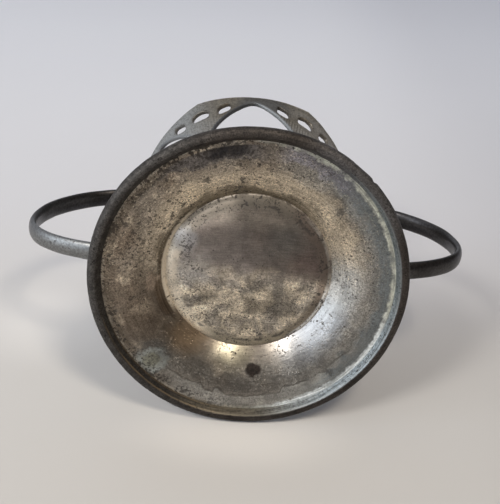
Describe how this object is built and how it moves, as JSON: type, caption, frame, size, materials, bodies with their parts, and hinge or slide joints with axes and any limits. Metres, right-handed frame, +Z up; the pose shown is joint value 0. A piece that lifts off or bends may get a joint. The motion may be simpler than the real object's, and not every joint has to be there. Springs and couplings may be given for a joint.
{
  "type": "cup holder",
  "caption": "Two-handled cup holder of tarnished pewter ware: a pierced gallery of pointed arches and small rounded openings on a flared round foot, with rod loop handles.",
  "frame": {"origin": "middle of the plane on which the foot ring stands", "axes": "+Z up along the holder's axis, +X towards the right handle, +Y towards the arch at the back"},
  "size_m": [0.1338, 0.0878, 0.072],
  "materials": {
    "dark_ring": "blackened, rubbed pewter",
    "foot_metal": "mottled tarnish with pits and dirt",
    "pan_metal": "dull scratched pewter",
    "gallery_metal": "satin tarnish, darker in the hollows",
    "handle_metal": "satin dark grey pewter",
    "solder": "dull soft solder"
  },
  "bodies": {
    "root": {"foot_rim_ring": "dark_ring", "foot_flare": "foot_metal", "floor_pan": "pan_metal", "gallery_wall": "gallery_metal", "handle_right": "handle_metal", "handle_left": "handle_metal", "solder_right_upper": "solder", "solder_right_lower": "solder", "solder_left_upper": "solder", "solder_left_lower": "solder"}
  },
  "joints": []
}
